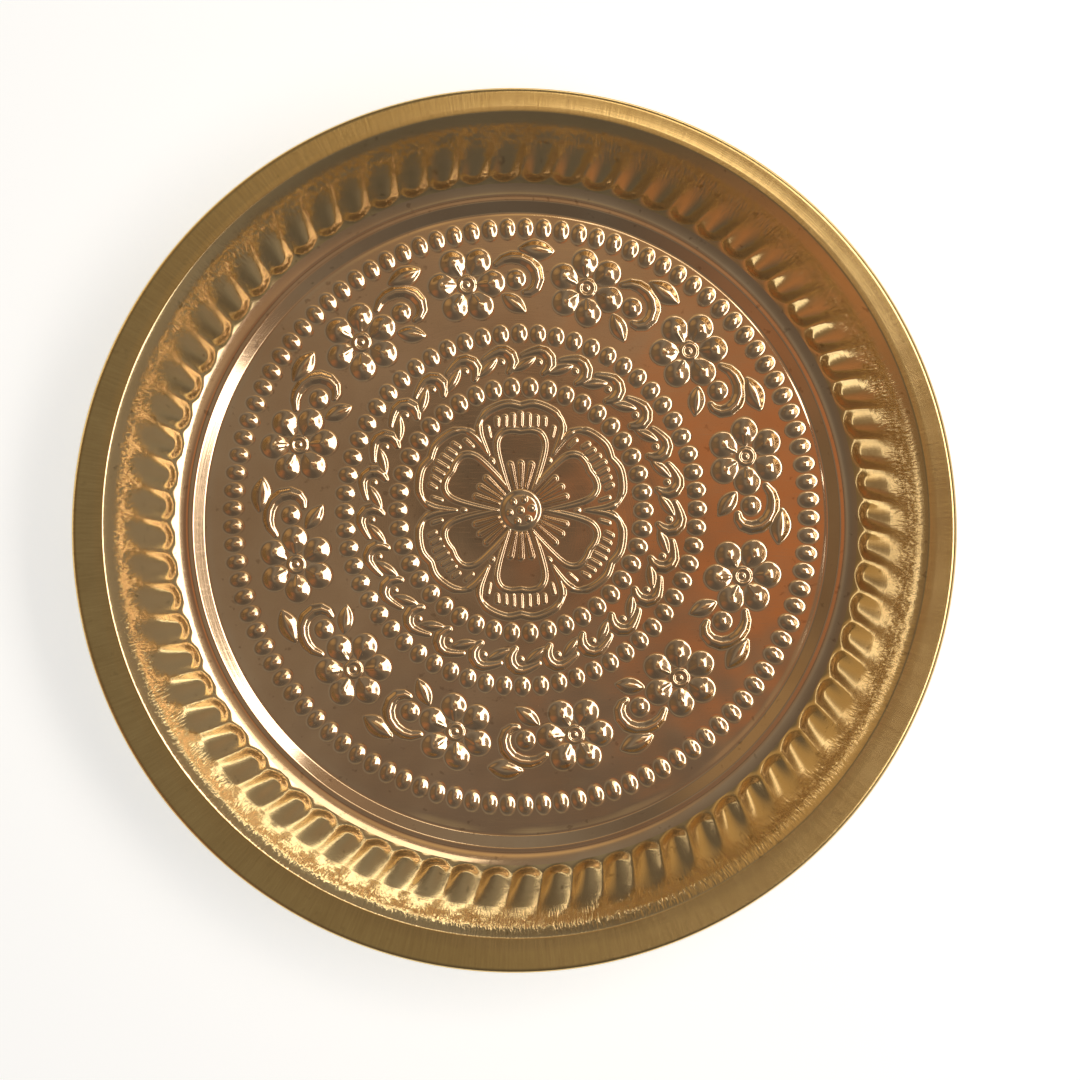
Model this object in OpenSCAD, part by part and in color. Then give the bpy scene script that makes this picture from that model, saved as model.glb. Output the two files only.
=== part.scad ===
// Round devotional tray of pressed brass: a satin rim with a rolled edge, a wall of slanted
// gadroons, and a flat floor embossed with flowers, beads, curls and a large centre flower.
// The origin is on the table under the middle of the rolled edge, with +Z up.

/* [Rim] */
// Overall diameter across the rolled edge
outer_d = 250; // [200:1:320]
// Height from the table to the top of the rim band
rim_h = 22.8; // [18:0.2:32]
// Mean width of the rim band, from the mouth to the outer edge
rim_w = 8.6; // [7:0.1:14]
// Width of the rim band that stays level before it starts to fall
rim_level_w = 2.2; // [1.8:0.1:3.5]
// Slope at which the rim band falls to the rolled edge, in degrees
rim_fall = 4; // [2:0.5:14]
// Thickness of the brass sheet
sheet_t = 0.8; // [0.5:0.05:1]
// Diameter of the wire that the edge is rolled over
wire_d = 1.5; // [1:0.1:2.4]
// Clearance between the wire and the sheet rolled round it
wire_gap = 0.05; // [0.02:0.01:0.1]
// How far the edge is rolled round the wire, in degrees
roll_turn = 282; // [240:1:286]
// Sideways shift of the dish inside its rim, from uneven trimming
dish_shift_x = 0.4; // [0:0.1:0.8]
// Lengthways shift of the dish inside its rim, from uneven trimming
dish_shift_y = 1.7; // [0:0.1:1.7]

/* [Wall] */
// Width of the rounded mouth between the gadroons and the rim band
mouth_w = 3.4; // [2.5:0.1:6]
// Height of the rounded mouth
mouth_h = 2.6; // [1.5:0.1:4]
// Number of gadroons round the wall
flute_count = 72; // [36:1:78]
// Width, seen from above, that the gadroons cover
flute_run = 13.8; // [10:0.2:20]
// Height that a gadroon stands out of the wall
flute_swell = 1.3; // [0.6:0.1:2]
// Slant of the gadroons, as the turn from their outer to their inner ends
flute_slant = 2.2; // [0:0.1:5]
// Width of the plain cove inside the gadroons
cove_w = 4; // [3:0.1:7]
// Rise of the cove
cove_h = 1.8; // [1:0.1:2.6]
// Width of the step down to the floor
step_w = 3.5; // [2.9:0.1:6]
// Drop of the step
step_h = 2.1; // [1:0.1:2.2]

/* [Ornament] */
// Sideways shift of the embossing on the floor
emboss_shift_x = 1.3; // [0:0.1:1.6]
// Lengthways shift of the embossing on the floor
emboss_shift_y = 4.4; // [0:0.1:4.6]
// Lengthways shift of the outer ring of beads on the floor
outer_ring_shift_y = 2.3; // [0:0.1:2.8]
// Diameter of a bead in the outer ring
fine_bead_d = 4.7; // [2:0.1:4.8]
// Height of a bead in the outer ring
fine_bead_h = 1.2; // [0.5:0.1:1.6]
// Distance between beads in the outer ring
fine_bead_pitch = 5.24; // [5:0.01:8]
// Length of an oval bead in the two inner rings, outward from the middle
bead_l = 5.6; // [3:0.1:5.8]
// Width of a bead in the two inner rings
bead_w = 4.4; // [2.5:0.1:4.6]
// Height of a bead in the two inner rings
bead_h = 1.3; // [0.6:0.1:1.9]
// Distance between beads in the two inner rings
bead_pitch = 5.38; // [5:0.01:8]
// Number of flowers in the frieze
flower_count = 12; // [8:1:14]
// Number of petals on a frieze flower
petal_count = 6; // [5:1:8]
// Height of the flowers and curls
relief_h = 1.4; // [0.6:0.1:2]
// Number of waves in the running scroll
scroll_count = 25; // [16:1:28]
// Number of large petals on the centre flower
centre_petal_count = 6; // [5:1:6]
// Height of the pad that a large petal stands on
petal_pad_h = 0.5; // [0.3:0.05:0.8]
// Width of the raised outlines on a large petal
petal_line_w = 1.4; // [0.8:0.1:1.8]
// Height of the centre boss
boss_h = 1.2; // [0.6:0.1:1.8]
// Gap between the centre boss and the petals round it
boss_gap = 0.4; // [0.2:0.1:1]

/* [Hidden] */

// Smoothness of every revolved surface
$fn = 288;
// Smoothness of the small beads and curls
small_fn = 24;
// Steps in each curved stretch of the section, and in the rolled edge
curve_steps = 8;
roll_steps = 24;
// Overrun of a cut past the sheet
cut = 1;
// Open joint between two neighbouring zones of the sheet
seam_gap = 0.04;

// Colours
rim_tint = [0.72, 0.58, 0.36];
wall_tint = [0.80, 0.64, 0.38];
floor_tint = [0.78, 0.60, 0.42];
relief_tint = [0.86, 0.70, 0.48];

// Radii of the section, from the outside in
edge_r = outer_d / 2;
mouth_r = edge_r - rim_w;
flute_top_r = mouth_r - mouth_w;
flute_foot_r = flute_top_r - flute_run;
ledge_r = flute_foot_r - cove_w;
floor_r = ledge_r - step_w;

// Heights of the section's upper side
ledge_z = sheet_t + step_h;
flute_foot_z = ledge_z + cove_h;
flute_top_z = rim_h - mouth_h;

// The straight line that the gadroons follow, and its slope
flute_foot = [flute_foot_r, flute_foot_z];
flute_top = [flute_top_r, flute_top_z];
flute_len = norm(flute_top - flute_foot);
flute_dir = (flute_top - flute_foot) / flute_len;
flute_slope = flute_dir[1] / flute_dir[0];
flat_dir = [1, 0];

// The rolled edge: its radius, and a centre that makes the falling band run into it smoothly
roll_r = wire_d / 2 + wire_gap + sheet_t;
level_r = mouth_r + rim_level_w;
roll_x = edge_r - roll_r;
roll_z = rim_h - tan(rim_fall) * (roll_x + roll_r * sin(rim_fall) - level_r) - roll_r * cos(rim_fall);
roll_centre = [roll_x, roll_z];

// Most that a raised line may rise, as a share of its width
rise_share = 0.42;
// Size of the bead that ends a raised line, as a share of the line
end_share = 1.12;

// Bands of the ornament as shares of the floor's radius
fine_bead_ring_share = 0.918;
frieze_ring_share = 0.735;
middle_bead_ring_share = 0.562;
scroll_ring_share = 0.481;
inner_bead_ring_share = 0.3915;
centre_petal_share = 0.345;
centre_boss_share = 0.065;

// Turn of the first flower, wave and large petal
frieze_turn = 13.5;
scroll_turn = 10.9;
centre_turn = 30;
// Turn of the first petal of a flower, from straight out
petal_turn = 20;

// Sizes of the frieze as shares of the distance between flowers
flower_pitch = 2 * PI * floor_r * frieze_ring_share / flower_count;
petal_reach_share = 0.2;
petal_r_share = 0.096;
flower_ring_r_share = 0.054;
flower_ring_w_share = 0.046;
flower_dot_r_share = 0.023;
curl_r_share = 0.19;
curl_w_share = 0.088;
bud_r_share = 0.078;
leaf_size_share = [0.23, 0.125];
almond_size_share = [0.28, 0.16];

// Places beside a flower: share of the floor's radius, and share of the turn to the next flower
curl_place_share = [0.734, -0.41];
leaf_place_share = [0.66, -0.387];
almond_place_share = [0.825, -0.563];
// Directions of these, from straight out
curl_from = -132;
curl_to = 42;
leaf_lie = -128;
almond_lie = -92;

// Sizes of the running scroll as shares of the distance between waves
wave_pitch = 2 * PI * floor_r * scroll_ring_share / scroll_count;
hook_r_share = 0.28;
hook_w_share = 0.19;
hook_dot_r_share = 0.07;
tail_size_share = [0.68, 0.18];
// Place of a tail: share of the floor's radius, and share of the turn to the next wave
tail_place_share = [0.466, 0.39];
hook_from = -160;
hook_to = 50;
tail_lie = -57;

// A large petal's outline as shares of its length
petal_base_share = [0.209, 0.089];
petal_lobe_share = [0.725, 0.1];
petal_lobe_r_share = 0.262;
// Length of the inner outline as a share of the petal
petal_inner_share = 0.74;

// Strokes on a large petal, as shares of its length: their size, where they start, and their spread
dash_size_share = [0.115, 0.042];
dash_base_share = 0.788;
dash_gap_share = 0.068;
dash_count = 7;
// A stamen's length, its widths at the base and at the end, and where its base is
stamen_size_share = [0.25, 0.028, 0.057];
stamen_base_share = 0.205;
stamen_turns = [-13, 0, 13];

// Dots on the boss as shares of the boss's radius
boss_dot_ring_share = 0.58;
boss_dot_r_share = 0.16;
boss_dot_count = 6;

// Rows of the gadroons from foot to top, and how far the swell has risen at each
flute_row_share = [0, 0.16, 0.36, 0.58, 0.78, 0.92, 1];
flute_rise_share = [0, 0.3, 0.62, 0.88, 1, 0.72, 0];
// Rounded cross section of one gadroon, from a valley over the crest
flute_round_share = [0, 0.866, 1, 0.866];

// Unit vector along v
function unit(v) = v / norm(v);

// Direction of the sheet at point i of a section that starts along a and ends along b
function sheet_dir(p, i, a, b) =
    i == 0 ? a
    : i == len(p) - 1 ? b
    : unit(unit(p[i + 1] - p[i]) + unit(p[i] - p[i - 1]));

// Points of the sheet's lower side, one thickness below its upper side
function under_side(p, a, b) =
    [for (i = [0 : len(p) - 1]) let(d = sheet_dir(p, i, a, b)) p[i] + sheet_t * [d[1], -d[0]]];

// Closed outline of a piece of sheet, from its upper side
function sheet_outline(p, a, b) =
    let(low = under_side(p, a, b))
    concat(p, [for (i = [len(low) - 1 : -1 : 0]) low[i]]);

// Upper side of the floor, the step and the cove, which ends along the gadroons' slope
function floor_section() =
    let(bend = flute_slope * cove_w / cove_h)
    concat(
        [[0, sheet_t], [floor_r - step_w / curve_steps, sheet_t]],
        [for (i = [0 : curve_steps]) let(s = i / curve_steps)
            [floor_r + step_w * s, sheet_t + step_h * (1 - cos(180 * s)) / 2]],
        [for (i = [1 : curve_steps]) let(s = i / curve_steps)
            [ledge_r + cove_w * s, ledge_z + cove_h * pow(s, bend)]]);

// Upper side of the rim band and of the roll round the wire
function band_section() =
    let(inner_r = mouth_r - norm([dish_shift_x, dish_shift_y]) - cut)
    concat(
        [[inner_r, rim_h], [level_r, rim_h]],
        [for (i = [0 : roll_steps]) let(a = 90 - rim_fall - roll_turn * i / roll_steps)
            roll_centre + roll_r * [cos(a), sin(a)]]);

// Direction in which the rolled sheet ends
function roll_end_dir() = let(a = -rim_fall - roll_turn) [cos(a), sin(a)];

// Height of a raised line or dot of width w
function rise(w) = min(relief_h, w * rise_share);

// Upper side of the rounded mouth, which starts along the gadroons' slope and ends level
function mouth_section() =
    let(bend = max(1, flute_slope * mouth_w / mouth_h))
    [for (i = [0 : curve_steps]) let(s = i / curve_steps)
        [flute_top_r + mouth_w * s, rim_h - mouth_h * pow(1 - s, bend)]];

// One point of the gadrooned wall's upper side
function flute_point(row, col) =
    let(
        s = seam_gap / flute_len + flute_row_share[row] * (1 - 2 * seam_gap / flute_len),
        swell = flute_swell * flute_rise_share[row] * flute_round_share[col % len(flute_round_share)])
    flute_foot + flute_len * s * flute_dir + swell * [-flute_dir[1], flute_dir[0]];

// Places a section point at its turn round the dish's axis
function turned(p, row, col) =
    let(a = 360 * col / (flute_count * len(flute_round_share)) + flute_slant * (1 - flute_row_share[row]))
    [p[0] * cos(a), p[0] * sin(a), p[1]];

// Outline of a stroke of length l along X, which starts base_w and ends end_w wide, both round
function stroke_outline(l, base_w, end_w) =
    let(turns = [for (i = [0 : curve_steps]) 180 * i / curve_steps - 90])
    concat(
        [for (a = turns) [l - end_w / 2 + end_w / 2 * cos(a), end_w / 2 * sin(a)]],
        [for (a = turns) [base_w / 2 - base_w / 2 * cos(a), -base_w / 2 * sin(a)]]);

// Radius of the ball whose cap has base radius r and height h
function ball_r(r, h) = (r * r + h * h) / (2 * h);

// Centres its children on the dish, which sits a little off the rim's centre
module on_dish() {
    translate([dish_shift_x, dish_shift_y, 0]) children();
}

// Centres its children on the embossing, on the floor's upper face
module on_floor(shift_y = emboss_shift_y) {
    on_dish() translate([emboss_shift_x, shift_y, sheet_t]) children();
}

// Places its children at a share of the floor's radius and an angle round the embossing
module ring_place(r_share, angle) {
    rotate([0, 0, angle]) translate([floor_r * r_share, 0, 0]) children();
}

// Half of a lens section: a circle's cap of half width r and height h
module cap_section(r, h) {
    intersection() {
        translate([0, h - ball_r(r, h)]) circle(r = ball_r(r, h));
        translate([-r, 0]) square([2 * r, h]);
    }
}

// Round raised bead
module dome(r, h) {
    rotate_extrude($fn = small_fn) intersection() {
        cap_section(r, h, $fn = 4 * small_fn);
        square([r, h]);
    }
}

// Raised line along an arc, with a slightly larger bead on each end
module ridge(r, w, h, from, to) {
    rotate([0, 0, from]) rotate_extrude(angle = to - from, $fn = 2 * small_fn)
        translate([r, 0]) cap_section(w / 2, h, $fn = 4 * small_fn);
    for (a = [from, to]) rotate([0, 0, a]) translate([r, 0, 0])
        dome(end_share * w / 2, end_share * h);
}

// Raised oval of length l and width w, along X
module oval(l, w, h) {
    long_r = ball_r(l / 2, h);
    cross_r = ball_r(w / 2, h);
    intersection() {
        translate([0, 0, h - cross_r]) rotate([0, 90, 0]) rotate_extrude($fn = 2 * small_fn) intersection() {
            translate([cross_r - long_r, 0]) circle(r = long_r, $fn = 4 * small_fn);
            translate([0, -l]) square([cross_r, 2 * l]);
        }
        translate([-l, -l, 0]) cube([2 * l, 2 * l, 2 * h]);
    }
}

// Repeats its children round a ring, about one pitch apart
module ring_of(r_share, pitch) {
    count = round(2 * PI * floor_r * r_share / pitch);
    for (i = [0 : count - 1]) ring_place(r_share, 360 * i / count) children();
}

// Frieze flower: round petals, a ring and a dot
module flower() {
    for (i = [0 : petal_count - 1]) {
        rotate([0, 0, petal_turn + 360 * i / petal_count])
            translate([flower_pitch * petal_reach_share, 0, 0])
            dome(flower_pitch * petal_r_share, relief_h);
    }
    ring_w = flower_pitch * flower_ring_w_share;
    rotate_extrude($fn = 2 * small_fn)
        translate([flower_pitch * flower_ring_r_share, 0])
        cap_section(ring_w / 2, rise(ring_w), $fn = 4 * small_fn);
    dot_r = flower_pitch * flower_dot_r_share;
    dome(dot_r, rise(2 * dot_r));
}

// Wedge with two round lobes, drawn in by inset, which runs in to a point on its axis
module petal_wedge(l, inset) {
    base = l * petal_base_share;
    lobe = l * petal_lobe_share;
    lobe_r = l * petal_lobe_r_share;
    start = base[0] + inset;
    side = lobe[1] + lobe_r - inset;
    tip = start - base[1] * (lobe[0] - start) / (side - base[1]);
    for (y = [-lobe[1], lobe[1]]) translate([lobe[0], y])
        circle(r = lobe_r - inset, $fn = 4 * small_fn);
    polygon([[tip, 0], [lobe[0], -side], [lobe[0], side]]);
}

// Outline of a large petal of length l, which starts beside the boss
module petal_outline(l) {
    difference() {
        petal_wedge(l, 0);
        circle(r = floor_r * centre_boss_share + boss_gap, $fn = 4 * small_fn);
    }
}

// Raised line that follows a large petal's outline and is open at the base
module petal_line(l) {
    linear_extrude(height = relief_h) difference() {
        petal_outline(l);
        petal_wedge(l, petal_line_w);
    }
}

// Wire ring inside the rolled edge
module edge_wire() {
    color(rim_tint) rotate_extrude() translate(roll_centre) circle(d = wire_d, $fn = small_fn);
}

// Rounded mouth, plain band and rolled edge
module rolled_rim() {
    color(rim_tint) union() {
        difference() {
            rotate_extrude() polygon(sheet_outline(band_section(), flat_dir, roll_end_dir()));
            on_dish() translate([0, 0, rim_h - sheet_t - cut]) cylinder(r = mouth_r, h = sheet_t + 2 * cut);
        }
        on_dish() rotate_extrude() polygon(sheet_outline(mouth_section(), flute_dir, flat_dir));
    }
}

// Wall of slanted gadroons, raised inside and hollow outside
module gadrooned_wall() {
    rows = len(flute_row_share);
    cols = flute_count * len(flute_round_share);
    loop = 2 * rows;
    drop = sheet_t * [flute_dir[1], -flute_dir[0]];
    skin = [for (k = [0 : loop - 1], c = [0 : cols - 1])
        let(row = k < rows ? k : loop - 1 - k, p = flute_point(row, c))
        turned(k < rows ? p : p + drop, row, c)];
    faces = [for (k = [0 : loop - 1], c = [0 : cols - 1])
        let(a = k * cols + c,
            b = k * cols + (c + 1) % cols,
            d = (k + 1) % loop * cols + c,
            e = (k + 1) % loop * cols + (c + 1) % cols)
        each [[a, b, e], [a, e, d]]];
    color(wall_tint) on_dish() polyhedron(points = skin, faces = faces);
}

// Flat floor, step and cove
module floor_pan() {
    color(floor_tint) on_dish() rotate_extrude()
        polygon(sheet_outline(floor_section(), flat_dir, flute_dir));
}

// Fine beads next to the floor's edge
module outer_bead_ring() {
    color(relief_tint) on_floor(outer_ring_shift_y)
        ring_of(fine_bead_ring_share, fine_bead_pitch) dome(fine_bead_d / 2, fine_bead_h);
}

// Ring of flowers
module flower_frieze() {
    color(relief_tint) on_floor() for (i = [0 : flower_count - 1])
        ring_place(frieze_ring_share, frieze_turn + 360 * i / flower_count) flower();
}

// Hooked curl round a bud, beside each flower
module curl_sprays() {
    turn = 360 / flower_count;
    curl_w = flower_pitch * curl_w_share;
    color(relief_tint) on_floor() for (i = [0 : flower_count - 1])
        ring_place(curl_place_share[0], frieze_turn + turn * (i + curl_place_share[1])) {
            ridge(flower_pitch * curl_r_share, curl_w, rise(curl_w), curl_from, curl_to);
            dome(flower_pitch * bud_r_share, relief_h);
        }
}

// Oval whose length and width are shares of the distance between flowers
module spray_oval(size_share) {
    w = flower_pitch * size_share[1];
    oval(flower_pitch * size_share[0], w, rise(w));
}

// Small leaf and almond-shaped bud, beside each curl
module leaf_sprays() {
    turn = 360 / flower_count;
    color(relief_tint) on_floor() for (i = [0 : flower_count - 1]) {
        ring_place(leaf_place_share[0], frieze_turn + turn * (i + leaf_place_share[1]))
            rotate([0, 0, leaf_lie])
            spray_oval(leaf_size_share);
        ring_place(almond_place_share[0], frieze_turn + turn * (i + almond_place_share[1]))
            rotate([0, 0, almond_lie])
            spray_oval(almond_size_share);
    }
}

// Beads inside the frieze
module middle_bead_ring() {
    color(relief_tint) on_floor() ring_of(middle_bead_ring_share, bead_pitch) oval(bead_l, bead_w, bead_h);
}

// Running wave of hooks, dots and tails
module running_scroll() {
    turn = 360 / scroll_count;
    hook_w = wave_pitch * hook_w_share;
    dot_r = wave_pitch * hook_dot_r_share;
    tail_w = wave_pitch * tail_size_share[1];
    color(relief_tint) on_floor() for (i = [0 : scroll_count - 1]) {
        ring_place(scroll_ring_share, scroll_turn + turn * i) {
            ridge(wave_pitch * hook_r_share, hook_w, rise(hook_w), hook_from, hook_to);
            dome(dot_r, rise(2 * dot_r));
        }
        ring_place(tail_place_share[0], scroll_turn + turn * (i + tail_place_share[1]))
            rotate([0, 0, tail_lie])
            oval(wave_pitch * tail_size_share[0], tail_w, rise(tail_w));
    }
}

// Beads round the centre flower
module inner_bead_ring() {
    color(relief_tint) on_floor() ring_of(inner_bead_ring_share, bead_pitch) oval(bead_l, bead_w, bead_h);
}

// Large petals with raised double outlines
module centre_flower() {
    l = floor_r * centre_petal_share;
    color(relief_tint) on_floor() for (i = [0 : centre_petal_count - 1])
        rotate([0, 0, centre_turn + 360 * i / centre_petal_count]) {
            linear_extrude(height = petal_pad_h) petal_outline(l);
            petal_line(l);
            petal_line(l * petal_inner_share);
        }
}

// Raised stroke with a flat top and round ends, outward along X
module stroke(l, base_w, end_w) {
    linear_extrude(height = rise(end_w)) polygon(stroke_outline(l, base_w, end_w));
}

// Short raised strokes on the large petals: a row along the edge, and stamens at the base
module petal_strokes() {
    l = floor_r * centre_petal_share;
    color(relief_tint) on_floor() translate([0, 0, petal_pad_h])
        for (i = [0 : centre_petal_count - 1]) rotate([0, 0, centre_turn + 360 * i / centre_petal_count]) {
            for (k = [0 : dash_count - 1])
                translate([l * dash_base_share, l * dash_gap_share * (k - (dash_count - 1) / 2), 0])
                stroke(l * dash_size_share[0], l * dash_size_share[1], l * dash_size_share[1]);
            for (a = stamen_turns) rotate([0, 0, a]) translate([l * stamen_base_share, 0, 0])
                stroke(l * stamen_size_share[0], l * stamen_size_share[1], l * stamen_size_share[2]);
        }
}

// Round boss with dots
module centre_boss() {
    r = floor_r * centre_boss_share;
    dot_r = r * boss_dot_r_share;
    color(relief_tint) on_floor() {
        dome(r, boss_h);
        translate([0, 0, boss_h]) sphere(r = dot_r, $fn = small_fn);
        for (i = [0 : boss_dot_count - 1]) rotate([0, 0, 360 * i / boss_dot_count])
            translate([r * boss_dot_ring_share, 0, boss_h * (1 - boss_dot_ring_share * boss_dot_ring_share)])
            sphere(r = dot_r, $fn = small_fn);
    }
}

edge_wire();
rolled_rim();
gadrooned_wall();
floor_pan();
outer_bead_ring();
flower_frieze();
curl_sprays();
leaf_sprays();
middle_bead_ring();
running_scroll();
inner_bead_ring();
centre_flower();
petal_strokes();
centre_boss();
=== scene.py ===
import math

import bmesh
import bpy
import numpy as np
from mathutils import Matrix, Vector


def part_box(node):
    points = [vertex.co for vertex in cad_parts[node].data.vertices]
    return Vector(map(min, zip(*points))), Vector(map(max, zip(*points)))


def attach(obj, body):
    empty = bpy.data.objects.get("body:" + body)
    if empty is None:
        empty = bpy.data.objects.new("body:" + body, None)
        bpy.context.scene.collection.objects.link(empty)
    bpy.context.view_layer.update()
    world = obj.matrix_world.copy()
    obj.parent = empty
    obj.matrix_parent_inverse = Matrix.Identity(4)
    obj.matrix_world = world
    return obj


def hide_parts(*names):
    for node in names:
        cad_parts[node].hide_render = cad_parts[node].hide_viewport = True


# A round devotional tray of pressed brass: satin rim, slanted gadroons and an embossed floor.
# All sizes are written in millimetres of a 250 mm tray and follow the frame's own width.

print("loading the frame")
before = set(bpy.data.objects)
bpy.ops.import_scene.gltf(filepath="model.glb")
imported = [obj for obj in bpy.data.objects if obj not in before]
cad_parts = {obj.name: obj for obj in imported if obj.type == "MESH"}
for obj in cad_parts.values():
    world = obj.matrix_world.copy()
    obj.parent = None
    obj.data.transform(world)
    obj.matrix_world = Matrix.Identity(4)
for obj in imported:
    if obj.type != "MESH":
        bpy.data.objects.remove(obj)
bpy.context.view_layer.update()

fullTurn = 2 * math.pi
trayWidth = 250
rimLow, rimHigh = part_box("rolled_rim")
unit = (rimHigh.x - rimLow.x) / trayWidth  # metres to a millimetre


def middleOf(node):
    low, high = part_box(node)
    return (low.x + high.x) / 2 / unit, (low.y + high.y) / 2 / unit


# the embossing was struck a little off the dish's centre, and its outer ring less so
dishCentre = middleOf("floor_pan")
ringCentre = middleOf("outer_bead_ring")
bossCentre = middleOf("middle_bead_ring")

dish = {
    "edgeRadius": 124.95,
    "levelRadius": 118.6,  # where the rim band starts to fall
    "mouthRadius": 116.4,
    "wallTopRadius": 113.0,
    "wallFootRadius": 99.2,
    "ledgeRadius": 94.6,
    "floorRadius": 91.0,
    "rimTop": rimHigh.z / unit,
    "ledgeZ": 2.9,
    "stepRound": 0.4,
    # radius, and lean in radians, up the cove and the wall
    "lean": [(95.4, 0.0), (96.9, 0.36), (99.9, 0.52), (101.3, 0.80), (112.0, 0.91)],
    "sheet": 0.8,
    "sharpAngle": 50,
    "samples": 4000,
}
wallRun = dish["wallTopRadius"] - dish["wallFootRadius"]


# Small tools that every piece uses

def vertsOf(geometry):
    return [item for item in geometry if isinstance(item, bmesh.types.BMVert)]


def keepPiece(name, bm):
    mesh = bpy.data.meshes.new(name)
    bm.to_mesh(mesh)
    bm.free()
    piece = bpy.data.objects.new(name, mesh)
    bpy.context.scene.collection.objects.link(piece)
    return piece


def smoothPiece(piece, sharpAngle):
    mesh = piece.data
    mesh.polygons.foreach_set("use_smooth", np.ones(len(mesh.polygons), dtype=bool))
    mesh.set_sharp_from_angle(angle=math.radians(sharpAngle))
    mesh.update()


def spinSectors(bm, geometry, steps, turn):
    # one sector is spun and then copied round, which is far quicker than one long spin
    count = 12
    bmesh.ops.spin(bm, geom=geometry, cent=(0, 0, 0), axis=(0, 0, 1), angle=turn / count,
                   steps=steps // count, use_merge=False)
    sector = bm.verts[:] + bm.edges[:] + bm.faces[:]
    for k in range(1, count):
        copied = vertsOf(bmesh.ops.duplicate(bm, geom=sector)["geom"])
        bmesh.ops.rotate(bm, verts=copied, cent=(0, 0, 0),
                         matrix=Matrix.Rotation(k * turn / count, 3, "Z"))
    bmesh.ops.remove_doubles(bm, verts=bm.verts[:], dist=0.001)


def spunSheet(name, radii, steps, turnFrom=0.0, turn=fullTurn):
    # a flat polar grid with two skins, which moveSheet then presses into shape
    bm = bmesh.new()
    chain = [bm.verts.new((r * math.cos(turnFrom), r * math.sin(turnFrom), 0)) for r in radii]
    edges = [bm.edges.new(pair) for pair in zip(chain, chain[1:])]
    spinSectors(bm, chain + edges, steps, turn)
    lifted = vertsOf(bmesh.ops.extrude_face_region(bm, geom=bm.faces[:])["geom"])
    bmesh.ops.translate(bm, verts=lifted, vec=(0, 0, dish["sheet"]))
    bmesh.ops.recalc_face_normals(bm, faces=bm.faces[:])
    return keepPiece(name, bm)


def readPoints(piece):
    points = np.empty(len(piece.data.vertices) * 3, dtype=np.float32)
    piece.data.vertices.foreach_get("co", points)
    return points.reshape(-1, 3).astype(float)


def writePoints(piece, points):
    piece.data.vertices.foreach_set("co", (points * unit).astype(np.float32).ravel())
    piece.data.update()


def moveSheet(piece, place, radii, centres):
    # place(radius, angle, centre, top) gives the new radius, angle and height of each point
    # the centre drifts evenly from the first one to the last one across the radii
    points = readPoints(piece)
    radius = np.hypot(points[:, 0], points[:, 1])
    angle = np.arctan2(points[:, 1], points[:, 0])
    share = np.clip((radius - radii[0]) / (radii[1] - radii[0]), 0, 1)
    centre = [first + share * (last - first) for first, last in zip(*centres)]
    radius, angle, height = place(radius, angle, centre, points[:, 2] > dish["sheet"] / 2)
    x, y = radius * np.cos(angle) + centre[0], radius * np.sin(angle) + centre[1]
    writePoints(piece, np.stack([x, y, height], axis=1))
    smoothPiece(piece, dish["sharpAngle"])


def sectionLean(radius):
    # lean of the dish's section, in radians, from the floor's edge to the mouth
    stepRun = dish["ledgeRadius"] - dish["floorRadius"] - dish["stepRound"]
    steep = (dish["ledgeZ"] - dish["sheet"]) / stepRun
    up = np.clip((radius - dish["floorRadius"]) / dish["stepRound"], 0, 1)
    down = np.clip((dish["ledgeRadius"] - radius) / dish["stepRound"], 0, 1)
    cove = np.interp(radius, [r for r, lean in dish["lean"]], [lean for r, lean in dish["lean"]])
    return np.arctan(steep * np.minimum(up, down)) + cove


sectionRadii = np.linspace(dish["floorRadius"] - 1, dish["wallTopRadius"], dish["samples"])
sectionRises = np.cumsum(np.tan(sectionLean(sectionRadii)))
sectionHeights = dish["sheet"] + sectionRises * (sectionRadii[1] - sectionRadii[0])


def sectionHeight(radius):
    return np.interp(radius, sectionRadii, sectionHeights)


def smoothStep(low, high, value):
    t = np.clip((value - low) / (high - low), 0, 1)
    return t * t * (3 - 2 * t)


unevenness = {
    "count": 7,
    "turn": 2.4,  # radians from the run of one wave to the next
    "slowest": 0.7,
    "quicker": 0.13,
    "phase": 1.7,
    "divisor": 5,
}


def waves(x, y, length, start):
    # gentle unevenness of hand-pressed sheet, mostly from -1 to 1
    total = 0
    for k in range(unevenness["count"]):
        lie = unevenness["turn"] * (k + start)
        rate = fullTurn / length * (unevenness["slowest"] + unevenness["quicker"] * k)
        along = x * math.cos(lie) + y * math.sin(lie)
        total = total + np.sin(rate * along + unevenness["phase"] * k + start)
    return total / unevenness["divisor"]


def folded(angle, turn, pitch):
    # angle from the nearest repeat of a pattern
    return (angle - turn + pitch / 2) % pitch - pitch / 2


def spotted(radius, angle, ringRadius, turn, pitch, lie=0.0):
    # x outward and y round the ring, from the centre of the nearest repeat, then turned by lie
    near = folded(angle, turn, pitch)
    x = radius * np.cos(near) - ringRadius
    y = radius * np.sin(near)
    c, s = math.cos(math.radians(lie)), math.sin(math.radians(lie))
    return x * c + y * s, y * c - x * s


# Raised forms, as heights over x and y; a higher power softens a form's foot

punch = {
    "domePower": 1.8,
    "leafLengthPower": 0.8,
    "leafWidthPower": 1.7,
    "ridgePower": 1.6,
    "strokeFlat": 0.35,  # the flat share of a stroke's width
}


def roundDome(x, y, length, width, height, power=punch["domePower"]):
    q = (2 * x / length) ** 2 + (2 * y / width) ** 2
    return height * np.clip(1 - q, 0, 1) ** power


def leafDome(x, y, length, width, height):
    along = np.clip(1 - (2 * x / length) ** 2, 0, 1)
    narrowed = width * along + 0.001  # never divided by zero
    across = np.clip(1 - (2 * y / narrowed) ** 2, 0, 1)
    return height * along ** punch["leafLengthPower"] * across ** punch["leafWidthPower"]


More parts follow.
